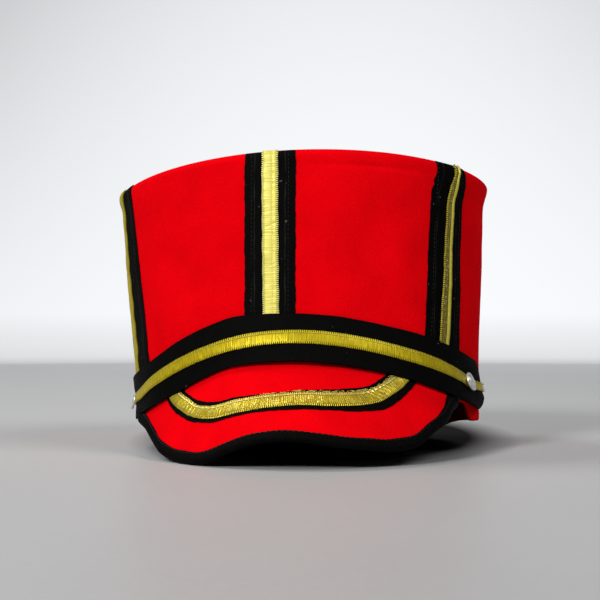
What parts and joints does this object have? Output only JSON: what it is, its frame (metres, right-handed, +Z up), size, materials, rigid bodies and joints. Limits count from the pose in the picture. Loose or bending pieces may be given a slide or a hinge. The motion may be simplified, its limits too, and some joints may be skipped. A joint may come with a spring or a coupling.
{
  "type": "velvet peaked cap",
  "caption": "Tall velvet cap with a flared, flat-topped crown, ribbon stripes, an arched ribbon strap on metal buttons, and a turned-down bound peak with a ribbon trim.",
  "frame": {"origin": "on the floor, under the middle of the cap's bounding box as it stands", "axes": "+Z up, -Y to the front of the peak, +X to the wearer's left"},
  "size_m": [0.2024, 0.2416, 0.1552],
  "materials": {
    "velvet": "short red velvet pile, soft sheen",
    "black_ribbon": "black grosgrain ribbon, dull satin",
    "gold_ribbon": "gold satin ribbon with a toothed edge",
    "button_metal": "domed silver metal",
    "lining": "plain black cloth"
  },
  "bodies": {
    "root": {"crown_side": "velvet", "crown_top": "velvet", "stripe_black_1": "black_ribbon", "stripe_black_2": "black_ribbon", "stripe_black_3": "black_ribbon", "stripe_black_4": "black_ribbon", "stripe_black_5": "black_ribbon", "stripe_black_6": "black_ribbon", "stripe_gold_1": "gold_ribbon", "stripe_gold_2": "gold_ribbon", "stripe_gold_3": "gold_ribbon", "stripe_gold_4": "gold_ribbon", "stripe_gold_5": "gold_ribbon", "stripe_gold_6": "gold_ribbon", "strap_black": "black_ribbon", "strap_gold": "gold_ribbon", "button_left": "button_metal", "button_right": "button_metal", "peak_top": "velvet", "peak_lining": "lining", "peak_binding": "black_ribbon", "trim_black": "black_ribbon", "trim_gold": "gold_ribbon"}
  },
  "joints": []
}
